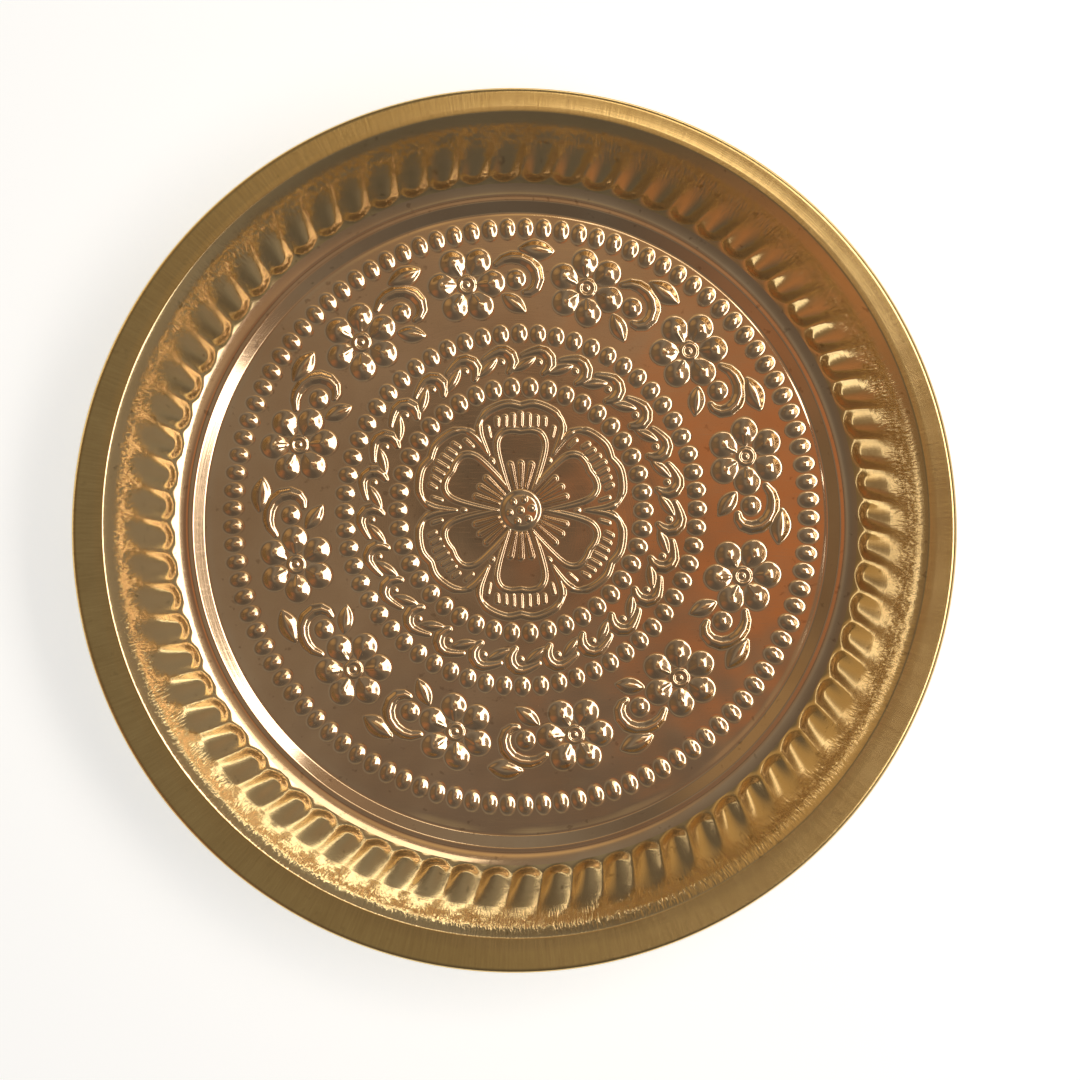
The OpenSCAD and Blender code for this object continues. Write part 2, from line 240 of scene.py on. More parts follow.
def ridgeLine(x, y, path, widths, height):
    widest = max(widths)
    raised = np.zeros_like(x)
    for (ax, ay), (bx, by), wa, wb in zip(path, path[1:], widths, widths[1:]):
        dx, dy = bx - ax, by - ay
        t = np.clip(((x - ax) * dx + (y - ay) * dy) / (dx * dx + dy * dy), 0, 1)
        w = wa + (wb - wa) * t
        gap = np.hypot(x - ax - t * dx, y - ay - t * dy)
        crown = np.clip(1 - (2 * gap / w) ** 2, 0, 1) ** punch["ridgePower"]
        raised = np.maximum(raised, w / widest * crown)
    return height * raised


def ringLine(reach, radius, width, height):
    # a ridge that closes on itself, at one distance from its middle
    path = [(radius, 0), (radius + 0.01, 0)]
    return ridgeLine(reach, np.zeros_like(reach), path, [width, width], height)


def roundedPath(path, widths, parts=4):
    # a smooth curve through the points, for ridgeLine
    points = np.array([path[0]] + list(path) + [path[-1]], dtype=float)
    curve, spread = [], []
    for i in range(1, len(points) - 2):
        a, b, c, d = points[i - 1:i + 3]
        for t in np.arange(parts) / parts:
            bend = 2 * a - 5 * b + 4 * c - d + t * (3 * b - a - 3 * c + d)
            curve.append(tuple(b + 0.5 * t * (c - a + t * bend)))
            spread.append(widths[i - 1] + t * (widths[i] - widths[i - 1]))
    return curve + [path[-1]], spread + [widths[-1]]


def flatLine(x, y, path, widths, height):
    # a raised stroke with a flat top and steep sides
    (ax, ay), (bx, by) = path
    dx, dy = bx - ax, by - ay
    t = np.clip(((x - ax) * dx + (y - ay) * dy) / (dx * dx + dy * dy), 0, 1)
    w = widths[0] + (widths[1] - widths[0]) * t
    gap = np.hypot(x - ax - t * dx, y - ay - t * dy)
    return height * (1 - smoothStep(punch["strokeFlat"], 1.0, 2 * gap / w))


def arcPath(radii, angles):
    # points at the given distances and turns, in degrees
    turns = [math.radians(a) for a in angles]
    return [(r * math.cos(t), r * math.sin(t)) for r, t in zip(radii, turns)]


def outsideOf(outline, x, side):
    # how far a point lies outside a petal's outline
    far = np.full_like(x, -9.0)  # well inside
    for (ax, ay), (bx, by) in zip(outline, outline[1:]):
        long = math.hypot(bx - ax, by - ay)
        far = np.maximum(far, ((x - ax) * (by - ay) - (side - ay) * (bx - ax)) / long)
    base = (side * outline[0][0] - x * outline[0][1]) / math.hypot(*outline[0])
    return np.maximum(far, base)


# Rim: rounded mouth, satin band and the edge rolled round its wire

rim = {
    "mouthWidth": 3.4,
    "mouthRows": 10,
    "creaseSlope": 0.78,
    "creaseRound": 0.3,
    "creaseLift": 0.06,
    "creaseGap": 0.05,
    "bandFall": 4.0,  # degrees
    "bandHolds": (0.5, 0.4),  # from each bend, where a point keeps the band flat
    "rollRadius": 1.6,
    "rollTurn": 282,
    "rollRows": 32,
    "shiftRun": 2,  # past the level part, where the mouth's shift off centre ends
    "steps": 480,
    "sharpAngle": 40,
}


def rimPath():
    top, crease, level = dish["rimTop"], dish["mouthRadius"], dish["levelRadius"]
    width = rim["mouthWidth"]
    growth = ((top - sectionHeights[-1]) / width - rim["creaseSlope"]) / width
    points = []
    for i in range(rim["mouthRows"]):
        u = width * (1 - i / rim["mouthRows"])
        points.append((crease - u, top - rim["creaseSlope"] * u - growth * u * u))
    # the crease stands a hair proud where the grinding wheel stopped
    points.append((crease - rim["creaseGap"], top - rim["creaseLift"]))
    points.append((crease + rim["creaseRound"] / 2, top))
    points.append((crease + rim["creaseRound"], top))
    points.append((level, top))
    fall, roll = math.radians(rim["bandFall"]), rim["rollRadius"]
    rollX = dish["edgeRadius"] - roll
    reach = rollX + roll * math.sin(fall) - level
    rollZ = top - math.tan(fall) * reach - roll * math.cos(fall)
    for across in (rim["bandHolds"][0], reach - rim["bandHolds"][1]):
        points.append((level + across, top - math.tan(fall) * across))
    for i in range(rim["rollRows"] + 1):
        a = math.radians(90 - rim["bandFall"] - rim["rollTurn"] * i / rim["rollRows"])
        points.append((rollX + roll * math.cos(a), rollZ + roll * math.sin(a)))
    return points


def offsetPath(path, distance):
    # the same path one sheet below, measured square to it
    moved = []
    for i, (x, z) in enumerate(path):
        ax, az = path[max(i - 1, 0)]
        bx, bz = path[min(i + 1, len(path) - 1)]
        long = math.hypot(bx - ax, bz - az)
        moved.append((x + distance * (bz - az) / long, z - distance * (bx - ax) / long))
    return moved


def makeRim():
    upper = rimPath()
    outline = upper + offsetPath(upper, dish["sheet"])[::-1]
    bm = bmesh.new()
    loop = [bm.verts.new((x, 0, z)) for x, z in outline]
    edges = [bm.edges.new((loop[i - 1], loop[i])) for i in range(len(loop))]
    spinSectors(bm, loop + edges, rim["steps"], fullTurn)
    bmesh.ops.recalc_face_normals(bm, faces=bm.faces[:])
    piece = keepPiece("brassRim", bm)
    # the rounded mouth is polished like the wall, the band outside the crease is satin
    middles = np.empty(len(piece.data.polygons) * 3, dtype=np.float32)
    piece.data.polygons.foreach_get("center", middles)
    middles = middles.reshape(-1, 3)
    polishedPart = np.hypot(middles[:, 0], middles[:, 1]) < dish["mouthRadius"]
    piece.data.polygons.foreach_set("material_index", polishedPart.astype(np.int32))
    points = readPoints(piece)
    radius = np.hypot(points[:, 0], points[:, 1])
    shift = 1 - smoothStep(dish["mouthRadius"], dish["levelRadius"] + rim["shiftRun"], radius)
    points[:, 0] += shift * dishCentre[0]
    points[:, 1] += shift * dishCentre[1]
    smoothPiece(piece, rim["sharpAngle"])
    writePoints(piece, points)
    return piece


# Wall: slanted gadroons, deepest near the foot, with round and shallow heads at the rim end

wall = {
    "count": 72,
    "swell": 1.45,
    "slant": 2.2,  # degrees from foot to head
    "headPower": 2.6,
    "crownPower": 1.5,
    "unlikeness": [(0.06, 2.3, 0), (0.05, 5.1, 1)],  # share, rate and start
    "waves": [(0.05, 14, 2), (0.015, 6, 5)],  # depth, length and start
    "wrinkle": 0.07,
    "wrinklesEach": 5,
    "wrinkleWander": (3, 31),
    "wrinkleEdge": (0.9, 1.0),  # from a gadroon's middle line to its outline
    "underShare": 0.92,
    "columns": 14,
    "rows": 48,
    # shares of the wall's width, from 0 at the foot to 1 at the rim end
    "riseFrom": -0.02,
    "riseTo": 0.24,
    "riseBow": 0.07,
    "fallFrom": 0.1,
    "fallTo": 1.005,
    "roundFrom": 0.66,
    "roundTo": 0.985,
    "wrinkleFrom": (0.70, 0.84),
    "wrinkleTo": (0.94, 1),
    "evenEnd": 0.15,
}


def gadroonHeight(along, angle):
    pitch = fullTurn / wall["count"]
    slant = math.radians(wall["slant"]) * (1 - along)
    index = np.round((angle - slant) / pitch)
    across = np.abs(folded(angle - slant, 0, pitch)) / pitch * 2
    head = np.clip((along - wall["roundFrom"]) / (wall["roundTo"] - wall["roundFrom"]), 0, 1)
    q = across / (np.sqrt(1 - head ** wall["headPower"]) + 0.0001)  # never divided by zero
    crown = np.clip(1 - q ** 2, 0, 1) ** wall["crownPower"]
    rise = smoothStep(wall["riseFrom"], wall["riseTo"], along - wall["riseBow"] * across ** 2)
    fall = 1 - smoothStep(wall["fallFrom"], wall["fallTo"], along)
    each = 1
    for share, rate, start in wall["unlikeness"]:
        each = each + share * np.sin(index * rate + start)
    return wall["swell"] * each * crown * rise * fall + wrinkleHeight(along, angle, q)


def wrinkleHeight(along, angle, q):
    # fine wrinkles round the heads, uneven from one to the next
    outside = smoothStep(*wall["wrinkleEdge"], q) * smoothStep(*wall["wrinkleFrom"], along)
    outside = outside * (1 - smoothStep(*wall["wrinkleTo"], along))
    reach, rate = wall["wrinkleWander"]
    around = angle * wall["count"] * wall["wrinklesEach"] + reach * np.sin(angle * rate)
    return wall["wrinkle"] * np.sin(around) * outside


def wallPlace(radius, angle, centre, top):
    along = (radius - dish["wallFootRadius"]) / wallRun
    x, y = radius * np.cos(angle), radius * np.sin(angle)
    ends = smoothStep(0, wall["evenEnd"], along) * (1 - smoothStep(1 - wall["evenEnd"], 1, along))
    uneven = sum(depth * waves(x, y, *run) for depth, *run in wall["waves"])
    swell = gadroonHeight(along, angle) + ends * uneven
    out = np.where(top, swell, swell * wall["underShare"] - dish["sheet"])
    lean = sectionLean(radius)
    return radius - out * np.sin(lean), angle, sectionHeight(radius) + out * np.cos(lean)


def makeWall():
    rows = wall["rows"]
    radii = [dish["wallFootRadius"] + wallRun * i / rows for i in range(rows + 1)]
    piece = spunSheet("gadroonWall", radii, wall["count"] * wall["columns"])
    moveSheet(piece, wallPlace, (radii[0], radii[-1]), (dishCentre, dishCentre))
    return piece


# Floor margin: the plain flat outside the ornament, the fine step, the ledge and the cove

margin = {
    "innerRadius": 87.6,
    "floorRows": 6,
    "stepRows": 24,
    "coveRows": 12,
    "stepRun": 3.6,
    "evenRun": 1.5,  # the waves fade out over this width inside the step
    "shiftGap": 0.3,
    "steps": 720,
}
floorWaves = {
    "waves": [(0.14, 30, 1), (0.05, 12, 4)],  # depth, length and start
    "least": 0.6,
    "added": 1.1,
    "towards": (0.75, -0.65),  # the floor is less even on the right and towards the viewer
    "addedOver": (-20, 90),
}


def floorWave(x, y):
    towards = floorWaves["towards"][0] * x + floorWaves["towards"][1] * y
    added = smoothStep(*floorWaves["addedOver"], towards)
    loose = floorWaves["least"] + floorWaves["added"] * added
    height = sum(depth * (1 + waves(x, y, *run)) / 2 for depth, *run in floorWaves["waves"])
    return loose * np.maximum(height, 0)


def marginPlace(radius, angle, centre, top):
    lean = sectionLean(radius)
    x = radius * np.cos(angle) + centre[0]
    y = radius * np.sin(angle) + centre[1]
    fade = 1 - smoothStep(dish["floorRadius"] - margin["evenRun"], dish["floorRadius"], radius)
    under = np.where(top, 0, dish["sheet"])
    height = sectionHeight(radius) - under * np.cos(lean) + fade * floorWave(x, y)
    return radius + under * np.sin(lean), angle, height


def makeMargin():
    inner, floor, ledge = margin["innerRadius"], dish["floorRadius"], dish["ledgeRadius"]
    floorRows, stepRows, coveRows = margin["floorRows"], margin["stepRows"], margin["coveRows"]
    coveRun = dish["wallFootRadius"] - ledge
    radii = [inner + (floor - inner) * i / floorRows for i in range(floorRows)]
    radii += [floor + margin["stepRun"] * i / stepRows for i in range(stepRows + 1)]
    radii += [ledge + coveRun * i / coveRows for i in range(1, coveRows + 1)]
    piece = spunSheet("floorMargin", radii, margin["steps"])
    moveSheet(piece, marginPlace, (inner, floor - margin["shiftGap"]), (ringCentre, dishCentre))
    return piece


# Ornament: every band is one polar sheet whose heights come from the forms above

beads = {
    # radius of the ring, count, turn in degrees, and a bead's length, width and height
    "outer": (84.2, 101, 0, 6.6, 4.9, 1.0),
    "middle": (51.5, 60, 0.5, 6.2, 5.1, 1.05),
    "inner": (35.9, 42, 0, 6.2, 5.2, 1.1),
}


def beadHeights(ring):
    ringRadius, count, turn, length, width, height = beads[ring]

    def heights(radius, angle):
        x, y = spotted(radius, angle, ringRadius, math.radians(turn), fullTurn / count)
        return roundDome(x, y, length, width, height)

    return heights


flower = {
    "petals": 6,
    "turn": 20,
    "petalOut": 7.2,
    "petal": (8.4, 7.8, 1.6, 1.5),  # length, width, height and power
    "petalInnerShare": 0.65,  # the petals are lower towards the eye
    "petalInnerRun": (3.6, 8.4),
    "stamen": ([(3.6, 0), (6.2, 0)], [1.3, 1.7], 0.4),
    "stamenOnPetal": 0.6,
    "eye": (2.1, 1.6, 0.5),  # radius, width and height of its ring
    "eyeDot": (2.2, 2.2, 0.55),
}


def flowerHeight(x, y):
    reach = np.hypot(x, y)
    turn = folded(np.arctan2(y, x), math.radians(flower["turn"]), fullTurn / flower["petals"])
    px, py = reach * np.cos(turn), reach * np.sin(turn)
    share = flower["petalInnerShare"]
    petal = roundDome(px - flower["petalOut"], py, *flower["petal"])
    petal = petal * (share + (1 - share) * smoothStep(*flower["petalInnerRun"], px))
    stamen = flatLine(px, py, *flower["stamen"])
    petal = petal + flower["stamenOnPetal"] * stamen
    eye = ringLine(reach, *flower["eye"])
    dot = roundDome(x, y, *flower["eyeDot"])
    return np.maximum.reduce([petal, eye, dot, stamen])


curl = {
    "radii": [7.3, 7.0, 6.7, 6.5, 6.5, 6.5, 6.4, 6.1, 5.4, 4.5],
    "turns": [52, 30, 10, -15, -40, -65, -90, -112, -132, -148],
    "widths": [1.9, 2.8, 3.4, 3.8, 3.9, 3.9, 3.7, 3.3, 2.6, 1.9],
    "height": 1.05,
    "bud": (6.2, 6.2, 1.25),
}


def curlHeight(x, y):
    path = arcPath(curl["radii"], curl["turns"])
    band = ridgeLine(x, y, path, curl["widths"], curl["height"])
    return np.maximum(band, roundDome(x, y, *curl["bud"]))


frieze = {
    "count": 12,
    "turn": 13.5,
    # radius, share of a repeat from the flower, and lie in degrees
    "flowerAt": (67.6, 0, 0),
    "curlAt": (67.3, -0.41, 0),
    "leafAt": (60.5, -0.387, -128),
    "budAt": (76.0, -0.563, -92),
    "leaf": (8.8, 5.0, 1.05),
    "bud": (10.6, 6.4, 1.25),
}


def friezeHeights(radius, angle):
    step = 360 / frieze["count"]

    def near(place):
        r, share, lie = frieze[place]
        turn = math.radians(frieze["turn"] + share * step)
        return spotted(radius, angle, r, turn, fullTurn / frieze["count"], lie)

    return np.maximum.reduce([
        flowerHeight(*near("flowerAt")),
        curlHeight(*near("curlAt")),
        leafDome(*near("leafAt"), *frieze["leaf"]),
        leafDome(*near("budAt"), *frieze["bud"]),
    ])


scroll = {
    "radius": 43.6,
    "count": 25,
    "turn": 10.9,
    "hookRadii": [3.5, 3.3, 3.3, 3.3, 3.4, 3.5],
    "hookTurns": [-152, -125, -95, -60, -25, 5],
    "hookEnd": [(2.9, 2.2), (1.9, 4.3), (0.7, 6.2)],
    "hookWidths": [1.9, 2.8, 3.4, 3.5, 3.2, 2.8, 2.3, 1.8, 1.1],
    "hookHeight": 0.95,
    "dot": (2.1, 2.1, 0.5),
    "tailAt": (42.7, 0.39, -57),  # radius, share of a repeat, and lie in degrees
    "tail": (8.0, 3.0, 0.75),
}


def scrollHeights(radius, angle):
    pitch = fullTurn / scroll["count"]
    turn = math.radians(scroll["turn"])
    x, y = spotted(radius, angle, scroll["radius"], turn, pitch)
    path = arcPath(scroll["hookRadii"], scroll["hookTurns"]) + scroll["hookEnd"]
    hook = ridgeLine(x, y, path, scroll["hookWidths"], scroll["hookHeight"])
    dot = roundDome(x, y, *scroll["dot"])
    tailRadius, share, lie = scroll["tailAt"]
    x, y = spotted(radius, angle, tailRadius, turn + share * pitch, pitch, lie)
    tail = leafDome(x, y, *scroll["tail"])
    return np.maximum.reduce([hook, dot, tail])


petals = {
    "count": 6,
    "turn": 30.0,
    # half of the outline and of the inner panel's edge, outward along a petal and sideways
    "outline": [(16.4, 9.6), (19.5, 11.0), (22.6, 12.1), (25.6, 12.1), (28.3, 10.4), (30.2, 7.2),
                (31.2, 3.6), (30.5, 0)],
    "outlineWidths": [1.3, 1.8, 2.2, 2.3, 2.3, 2.3, 2.3, 2.2],
    "outlineHeight": 0.65,
    "panel": [(6.0, 3.6), (12.1, 5.6), (17.8, 7.0), (20.8, 6.8), (22.8, 5.3), (23.5, 2.7),
              (23.2, 0)],
    "panelWidths": [1.3, 1.7, 1.9, 1.9, 1.9, 1.9, 1.9],
    "panelHeight": 0.55,
    "padHeight": 0.4,
    "padOver": (1.5, 0),  # distances outside the outline
    "panelDepth": 0.25,
    "panelOver": (0.4, -1.0),  # distances outside the panel's edge
    "dropAt": (14.3, 8.4),
    "drop": (2.4, 1.9, 0.45),
    "frontStrokes": 4,
    "frontFrom": 24.9,
    "frontTo": (28.2, 0.5),  # each stroke ends this much shorter than the last
    "frontPitch": 2.3,
    "frontStroke": ([1.4, 1.7], 0.4),  # widths and height
    "sideStroke": ([(21.6, 9.1), (24.2, 9.7)], [1.2, 1.4], 0.35),
    "stamenLies": (-13, 0, 13),
    "stamenReach": (6.9, 13.6),
    "stamen": ([1.2, 2.3], 0.5),
}


def petalHeights(radius, angle):
    near = folded(angle, math.radians(petals["turn"]), fullTurn / petals["count"])
    x, y = radius * np.cos(near), radius * np.sin(near)
    side = np.abs(y)
    outline = roundedPath(petals["outline"], petals["outlineWidths"])
    panel = roundedPath(petals["panel"], petals["panelWidths"])
    raised = [ridgeLine(x, side, *outline, petals["outlineHeight"]),
              ridgeLine(x, side, *panel, petals["panelHeight"]),
              roundDome(x - petals["dropAt"][0], side - petals["dropAt"][1], *petals["drop"]),
              flatLine(x, side, *petals["sideStroke"])]
    longest, shorter = petals["frontTo"]
    for k in range(petals["frontStrokes"]):
        across = petals["frontPitch"] * k
        path = [(petals["frontFrom"], across), (longest - shorter * k, across)]
        raised.append(flatLine(x, side, path, *petals["frontStroke"]))
    for lie in petals["stamenLies"]:
        c, s = math.cos(math.radians(lie)), math.sin(math.radians(lie))
        path = [(r * c, r * s) for r in petals["stamenReach"]]
        raised.append(flatLine(x, y, path, *petals["stamen"]))
    pad = smoothStep(*petals["padOver"], outsideOf(petals["outline"], x, side))
    dip = smoothStep(*petals["panelOver"], outsideOf(petals["panel"], x, side))
    base = petals["padHeight"] * pad - petals["panelDepth"] * dip
    return np.maximum(base + np.maximum.reduce(raised), 0)


boss = {
    "disc": 0.8,
    "discEdge": (4.4, 6.2),
    "crown": 0.2,
    "crownRadius": 5,
    "dots": 6,
    "dotTurn": 12,
    "dotOut": 3.3,
    "dot": (2.4, 2.4, 0.55),
}


def bossHeights(radius, angle):
    disc = boss["disc"] * (1 - smoothStep(*boss["discEdge"], radius))
    disc = disc + boss["crown"] * np.clip(1 - (radius / boss["crownRadius"]) ** 2, 0, 1)
    turn, pitch = math.radians(boss["dotTurn"]), fullTurn / boss["dots"]
    x, y = spotted(radius, angle, boss["dotOut"], turn, pitch)
    return disc + np.maximum(roundDome(x, y, *boss["dot"]), roundDome(radius, 0, *boss["dot"]))


underShare = 0.85  # how much of a form's height is hollow below
beadForm, middleForm, innerForm = [(beadHeights(ring), centre) for ring, centre in (
    ("outer", ringCentre), ("middle", bossCentre), ("inner", bossCentre))]
friezeForm = (friezeHeights, bossCentre)

bands = {
    # inner radius, rows, steps round, sectors, centre at the outer edge, forms with their
    # centres, and the nodes that they stand for; a band reaches out to the one before it
    "beadBand": (80.2, 22, 1512, 1, ringCentre, [beadForm, friezeForm], ["outer_bead_ring"]),
    "flowerFrieze": (54.6, 76, 1296, 3, bossCentre, [friezeForm, beadForm],
                     ["flower_frieze", "curl_sprays", "leaf_sprays"]),
    "middleBeads": (48.8, 20, 1080, 1, bossCentre, [middleForm, friezeForm], ["middle_bead_ring"]),
    "scrollBand": (39.2, 32, 948, 1, bossCentre, [(scrollHeights, bossCentre)], ["running_scroll"]),
    "innerBeads": (32.8, 22, 840, 1, bossCentre, [innerForm], ["inner_bead_ring"]),
    "centreFlower": (6.3, 96, 648, 3, bossCentre, [(petalHeights, bossCentre)],
                     ["centre_flower", "petal_strokes"]),
    "centreBoss": (0.0, 22, 132, 1, bossCentre, [(bossHeights, bossCentre)], ["centre_boss"]),
}


def bandPlace(forms):
    def place(radius, angle, centre, top):
        x = radius * np.cos(angle) + centre[0]
        y = radius * np.sin(angle) + centre[1]
        raised = np.zeros_like(x)
        for heights, middle in forms:
            fromX, fromY = x - middle[0], y - middle[1]
            height = heights(np.hypot(fromX, fromY), np.arctan2(fromY, fromX))
            raised = np.maximum(raised, height)
        lift = np.where(top, dish["sheet"] + raised, raised * underShare)
        return radius, angle, floorWave(x, y) + lift

    return place


def makeBand(name, outer, inner, rows, steps, sectors, outerCentre, forms):
    # a wide band is made in sectors, which get the letters A, B and C
    radii = [inner + (outer - inner) * i / rows for i in range(rows + 1)]
    turn = fullTurn / sectors
    pieces = []
    for k in range(sectors):
        label = name + "ABC"[k] if sectors > 1 else name
        piece = spunSheet(label, radii, steps // sectors, k * turn, turn)
        moveSheet(piece, bandPlace(forms), (radii[0], radii[-1]), (bossCentre, outerCentre))
        pieces.append(piece)
    return pieces


# Shared effects, as node groups with named sockets

def newGroup(name, inputs, outputs):
    # every effect takes a place and some numbers, and gives masks
    group = bpy.data.node_groups.new(name, "ShaderNodeTree")
    sockets = group.interface
    sockets.new_socket(name="Vector", in_out="INPUT", socket_type="NodeSocketVector")
    for label, value in inputs.items():
        socket = sockets.new_socket(name=label, in_out="INPUT", socket_type="NodeSocketFloat")
        socket.default_value = value
    for label in outputs:
        sockets.new_socket(name=label, in_out="OUTPUT", socket_type="NodeSocketFloat")
    source = group.nodes.new("NodeGroupInput")
    result = group.nodes.new("NodeGroupOutput")
    return group, source, result


def mathNode(tree, operation, a, b=None):
    node = tree.nodes.new("ShaderNodeMath")
    node.operation = operation
    for socket, value in zip(node.inputs, (a, b)):
        if isinstance(value, (int, float)):
            socket.default_value = value
        elif value is not None:
            tree.links.new(value, socket)
    return node.outputs[0]


def mapValue(tree, value, fromLow, fromHigh, toLow=0.0, toHigh=1.0):
    node = tree.nodes.new("ShaderNodeMapRange")
    tree.links.new(value, node.inputs["Value"])
    ends = (("From Min", fromLow), ("From Max", fromHigh), ("To Min", toLow), ("To Max", toHigh))
    for label, number in ends:
        if isinstance(number, (int, float)):
            node.inputs[label].default_value = number
        else:
            tree.links.new(number, node.inputs[label])
    return node.outputs["Result"]


def noiseNode(tree, vector, scale, detail, roughness):
    node = tree.nodes.new("ShaderNodeTexNoise")
    tree.links.new(vector, node.inputs["Vector"])
    if isinstance(scale, (int, float)):
        node.inputs["Scale"].default_value = scale
    else:
        tree.links.new(scale, node.inputs["Scale"])
    node.inputs["Detail"].default_value = detail
    node.inputs["Roughness"].default_value = roughness
    return node.outputs["Fac"]


def radiusFrom(tree, vector):
    # distance from the upright axis
    flat = tree.nodes.new("ShaderNodeVectorMath")
    flat.operation = "MULTIPLY"
    tree.links.new(vector, flat.inputs[0])
    flat.inputs[1].default_value = (1, 1, 0)
    length = tree.nodes.new("ShaderNodeVectorMath")
    length.operation = "LENGTH"
    tree.links.new(flat.outputs[0], length.inputs[0])
    return length.outputs["Value"]


def polarVector(tree, vector, around, outward):
    # x and y go round the axis at the rate of around, and z goes outward
    split = tree.nodes.new("ShaderNodeSeparateXYZ")
    tree.links.new(vector, split.inputs[0])
    radius = radiusFrom(tree, vector)
    joined = tree.nodes.new("ShaderNodeCombineXYZ")
    for index in (0, 1):
        share = mathNode(tree, "DIVIDE", split.outputs[index], radius)
        tree.links.new(mathNode(tree, "MULTIPLY", share, around), joined.inputs[index])
    tree.links.new(mathNode(tree, "MULTIPLY", radius, outward), joined.inputs[2])
    return joined.outputs[0]


grindMarks = {
    "sockets": {"Around": 300.0, "Outward": 60.0},
    "markNoise": (3, 0.7),  # detail and roughness
    "markSpread": (0.3, 0.7),
    "patchRates": (14.0, 90.0),  # around and outward
    "patchNoise": (2, 0.55),
    "patchSpread": (0.25, 0.75),
}


def makeGrindGroup():
    # fine marks that run outward across a turned band
    group, source, result = newGroup("crossGrind", grindMarks["sockets"], ["Mark", "Patch"])
    place = source.outputs["Vector"]
    fine = polarVector(group, place, source.outputs["Around"], source.outputs["Outward"])
    mark = noiseNode(group, fine, 1.0, *grindMarks["markNoise"])
    mark = mapValue(group, mark, *grindMarks["markSpread"])
    group.links.new(mark, result.inputs["Mark"])
    wide = polarVector(group, place, *grindMarks["patchRates"])
    patch = noiseNode(group, wide, 1.0, *grindMarks["patchNoise"])
    patch = mapValue(group, patch, *grindMarks["patchSpread"])
    group.links.new(patch, result.inputs["Patch"])
    return group


ringMarks = {
    "sockets": {"Rings": 2600.0},
    "around": 1.6,
    "noise": (2, 0.6),
    "spread": (0.3, 0.7),
}


def makeSpinGroup():
    # fine rings left by the spinning lathe
    group, source, result = newGroup("spinRings", ringMarks["sockets"], ["Ring"])
    rings = source.outputs["Rings"]
    vector = polarVector(group, source.outputs["Vector"], ringMarks["around"], rings)
    ring = noiseNode(group, vector, 1.0, *ringMarks["noise"])
    ring = mapValue(group, ring, *ringMarks["spread"])
    group.links.new(ring, result.inputs["Ring"])
    return group


tarnishMarks = {
    "sockets": {"Cloud Scale": 22.0, "Speck Scale": 420.0},
    "cloudNoise": (5, 0.6),
    "cloudSpread": (0.35, 0.68),
    "speckNoise": (2, 0.5),
    "speckSpread": (0.66, 0.74),
}


def makeTarnishGroup():
    # soft clouds of tarnish and small dark specks
    group, source, result = newGroup("warmTarnish", tarnishMarks["sockets"], ["Cloud", "Speck"])
    place = source.outputs["Vector"]
    cloud = noiseNode(group, place, source.outputs["Cloud Scale"], *tarnishMarks["cloudNoise"])
    cloud = mapValue(group, cloud, *tarnishMarks["cloudSpread"])
    group.links.new(cloud, result.inputs["Cloud"])
    speck = noiseNode(group, place, source.outputs["Speck Scale"], *tarnishMarks["speckNoise"])
    speck = mapValue(group, speck, *tarnishMarks["speckSpread"])
    group.links.new(speck, result.inputs["Speck"])
    return group


scratchMarks = {
    "sockets": {"Scale": 90.0},
    "turns": (0.4, 1.5, 2.5),
    "stretch": (1.0, 24.0, 1.0),
    "noise": (2, 0.6),
    "spread": (0.62, 0.72),
}


def makeScratchGroup():
    # thin polishing scratches that cross each other
    group, source, result = newGroup("polishScratches", scratchMarks["sockets"], ["Scratch"])
    found = None
    for turn in scratchMarks["turns"]:
        mapping = group.nodes.new("ShaderNodeMapping")
        mapping.inputs["Rotation"].default_value = (0, 0, turn)
        mapping.inputs["Scale"].default_value = scratchMarks["stretch"]
        group.links.new(source.outputs["Vector"], mapping.inputs["Vector"])
        scale = source.outputs["Scale"]
        line = noiseNode(group, mapping.outputs[0], scale, *scratchMarks["noise"])
        mask = mapValue(group, line, *scratchMarks["spread"])
        found = mask if found is None else mathNode(group, "MAXIMUM", found, mask)
    group.links.new(found, result.inputs["Scratch"])
    return group


puckerMarks = {
    "sockets": {"Inner Radius": 0.1075, "Outer Radius": 0.1165},  # metres
    "rates": (170.0, 500.0),  # around and outward
    "noise": (2, 0.5),
}


def makePuckerGroup():
    # fine puckers where the gadroons end under the rounded mouth
    group, source, result = newGroup("mouthPuckers", puckerMarks["sockets"], ["Pucker"])
    inner, outer = source.outputs["Inner Radius"], source.outputs["Outer Radius"]
    place = source.outputs["Vector"]
    radius = radiusFrom(group, place)
    middle = mathNode(group, "MULTIPLY", mathNode(group, "ADD", inner, outer), 0.5)
    rising = mapValue(group, radius, inner, middle)
    falling = mapValue(group, radius, middle, outer, 1.0, 0.0)
    mask = mathNode(group, "MULTIPLY", rising, falling)
    fine = polarVector(group, place, *puckerMarks["rates"])
    pucker = noiseNode(group, fine, 1.0, *puckerMarks["noise"])
    pucker = mathNode(group, "MULTIPLY", pucker, mask)
    group.links.new(pucker, result.inputs["Pucker"])
    return group


def placeGroup(tree, group, vector, **values):
    node = tree.nodes.new("ShaderNodeGroup")
    node.node_tree = group
    tree.links.new(vector, node.inputs["Vector"])
    for label, value in values.items():
        node.inputs[label].default_value = value
    return node


def mixColour(tree, mask, first, second):
    node = tree.nodes.new("ShaderNodeMix")
    node.data_type = "RGBA"
    tree.links.new(mask, node.inputs[0])
    for socket, value in ((node.inputs[6], first), (node.inputs[7], second)):
        if isinstance(value, tuple):
            socket.default_value = (*value, 1.0)
        else:
            tree.links.new(value, socket)
    return node.outputs[2]


